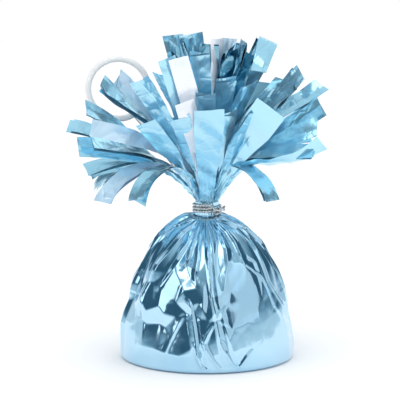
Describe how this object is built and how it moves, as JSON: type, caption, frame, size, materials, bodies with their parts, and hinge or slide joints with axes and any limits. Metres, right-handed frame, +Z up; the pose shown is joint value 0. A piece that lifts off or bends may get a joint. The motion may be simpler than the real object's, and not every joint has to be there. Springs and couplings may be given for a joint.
{
  "type": "balloon weight",
  "caption": "Sand-filled dome wrapped in light blue metallic film, tied at the neck, with a fringe of cut film strips and a clear ring for tying balloon ribbons to.",
  "frame": {"origin": "centre of the flat base, on the surface that the weight stands on", "axes": "+Z up along the dome and neck, -Y towards the front with the twisted ends of the tie, -X towards the tying ring"},
  "size_m": [0.0974, 0.0774, 0.1218],
  "materials": {
    "blue_foil": "mirror-bright metallised film, light blue",
    "cup_plastic": "plain moulded",
    "sand": "loose dry sand",
    "silver_tie": "bright, finely twisted",
    "clear_film": "clear film",
    "clear_ring": "smooth, slightly cloudy clear plastic"
  },
  "bodies": {
    "weight": {"base_disc": "cup_plastic", "weight_cup": "cup_plastic", "sand_fill": "sand", "foil_wrap": "blue_foil", "neck_tie": "silver_tie", "fringe_left": "blue_foil", "fringe_left_low": "blue_foil", "fringe_front": "blue_foil", "fringe_right_low": "blue_foil", "fringe_right": "blue_foil", "fringe_back_right": "blue_foil", "fringe_back": "blue_foil", "fringe_back_left": "blue_foil", "fringe_mid_left": "blue_foil", "fringe_mid_front_left": "blue_foil", "fringe_mid_front_right": "blue_foil", "fringe_mid_right": "blue_foil", "fringe_mid_back": "blue_foil", "fringe_top_left": "blue_foil", "fringe_top_middle": "blue_foil", "fringe_top_right": "blue_foil"},
    "strap": {"ring_strap": "clear_film"},
    "ring": {"tying_ring": "clear_ring"}
  },
  "joints": [
    {"name": "strap_bend", "type": "hinge", "parent": "weight", "child": "strap", "pos_m": [-0.0016, 0.00495, 0.06005], "axis": [-0.7934, 0, -0.6088], "range_deg": [0, 60], "stiffness_Nm_per_rad": 0.002},
    {"name": "ring_swing", "type": "hinge", "parent": "strap", "child": "ring", "pos_m": [-0.02656, 0.00495, 0.09258], "axis": [-0.7934, 0, -0.6088], "range_deg": [-10, 90]}
  ]
}
